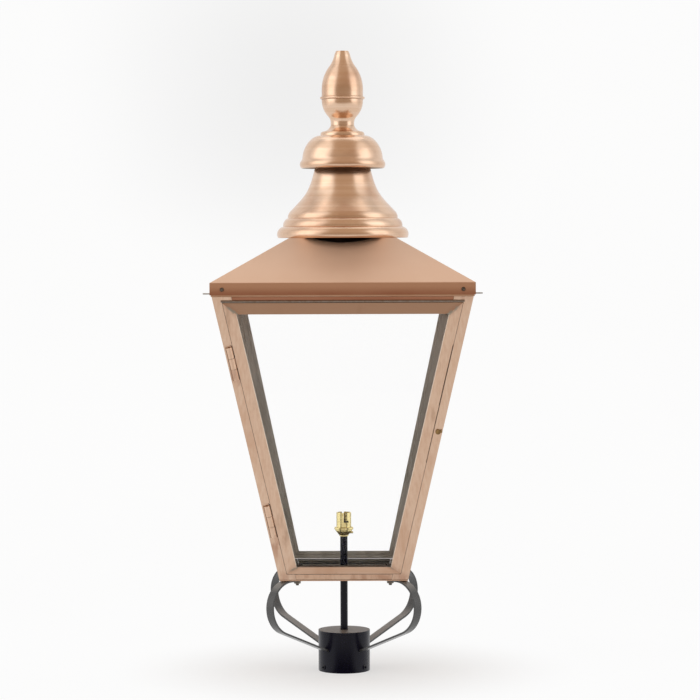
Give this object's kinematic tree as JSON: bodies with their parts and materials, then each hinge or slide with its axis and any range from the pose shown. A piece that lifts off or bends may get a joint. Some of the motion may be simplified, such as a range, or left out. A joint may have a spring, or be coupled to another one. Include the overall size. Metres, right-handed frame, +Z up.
{
  "type": "post top lantern",
  "caption": "Tapered square copper lantern on bent steel straps above a post socket, glazed on every side, with a hinged door, hipped roof, spun hood, dome and finial",
  "frame": {"origin": "centre of the post socket's open lower end", "axes": "+Z up, the door faces -Y, hinges on the -X side"},
  "size_m": [0.4614, 0.4404, 1.0668],
  "materials": {
    "copper": "brushed copper sheet with light wear",
    "black_steel": "satin black",
    "zinc_steel": "plain steel",
    "brass": "drawn brass",
    "clear_glass": "clear flat glass",
    "dark_insulator": "matt dark"
  },
  "bodies": {
    "lantern": {"base_plate": "copper", "bead_back": "copper", "bead_left": "copper", "bead_right": "copper", "bottom_rails": "copper", "corner_post_front_left": "copper", "corner_post_front_right": "copper", "corner_post_rear_left": "copper", "corner_post_rear_right": "copper", "dome_cap": "copper", "drip_strip": "copper", "finial_collar": "copper", "finial_lower": "copper", "finial_ring": "copper", "finial_upper": "copper", "frame_back": "copper", "frame_left": "copper", "frame_right": "copper", "glass_back": "clear_glass", "glass_left": "clear_glass", "glass_right": "clear_glass", "head_rails": "copper", "hinge_pins": "brass", "hinge_post_leaves": "copper", "holder_barrel": "brass", "holder_cone": "brass", "holder_grip_screw": "brass", "holder_insulator": "dark_insulator", "holder_ring": "brass", "hood_bell": "copper", "roof_pins": "zinc_steel", "roof_screws": "zinc_steel", "roof_shell": "copper", "socket_cap": "black_steel", "socket_sleeve": "black_steel", "stem_locknuts": "black_steel", "stem_tube": "black_steel", "strap_bolts": "zinc_steel", "strap_front_left": "black_steel", "strap_front_right": "black_steel", "strap_nuts": "zinc_steel", "strap_rear_left": "black_steel", "strap_rear_right": "black_steel", "tie_rod": "zinc_steel", "tie_rod_nuts": "zinc_steel", "top_frame": "copper", "vent_bar": "copper", "vent_screws": "zinc_steel"},
    "door": {"door_frame": "copper", "door_glass": "clear_glass", "door_bead": "copper", "hinge_door_leaves": "copper"},
    "latch": {"latch_lever": "brass", "latch_tongue": "brass"},
    "plunger_left": {"contact_plunger_left": "brass"},
    "plunger_right": {"contact_plunger_right": "brass"},
    "set_screw_left": {"set_screw_1": "black_steel"},
    "set_screw_right": {"set_screw_2": "black_steel"},
    "set_screw_rear": {"set_screw_3": "black_steel"}
  },
  "joints": [
    {"name": "door_hinge", "type": "hinge", "parent": "lantern", "child": "door", "pos_m": [-0.15237, -0.1593, 0.40532], "axis": [0.2113, 0.2113, -0.9543], "range_deg": [0, 110]},
    {"name": "latch_turn", "type": "hinge", "parent": "lantern", "child": "latch", "pos_m": [0.15747, -0.16497, 0.424], "axis": [0, 0.9764, 0.2161], "range_deg": [0, 90]},
    {"name": "contact_left", "type": "slide", "parent": "lantern", "child": "plunger_left", "axis": [0, 0, -1], "range_m": [0, 0.003], "stiffness_N_per_m": 500, "springref_m": -0.002},
    {"name": "contact_right", "type": "slide", "parent": "lantern", "child": "plunger_right", "axis": [0, 0, -1], "range_m": [0, 0.003], "stiffness_N_per_m": 500, "springref_m": -0.002},
    {"name": "screw_in_left", "type": "slide", "parent": "lantern", "child": "set_screw_left", "axis": [0.788, 0.6157, 0], "range_m": [0, 0.004]},
    {"name": "screw_in_right", "type": "slide", "parent": "lantern", "child": "set_screw_right", "axis": [-0.788, 0.6157, 0], "range_m": [0, 0.004]},
    {"name": "screw_in_rear", "type": "slide", "parent": "lantern", "child": "set_screw_rear", "axis": [0, -1, 0], "range_m": [0, 0.004]}
  ]
}
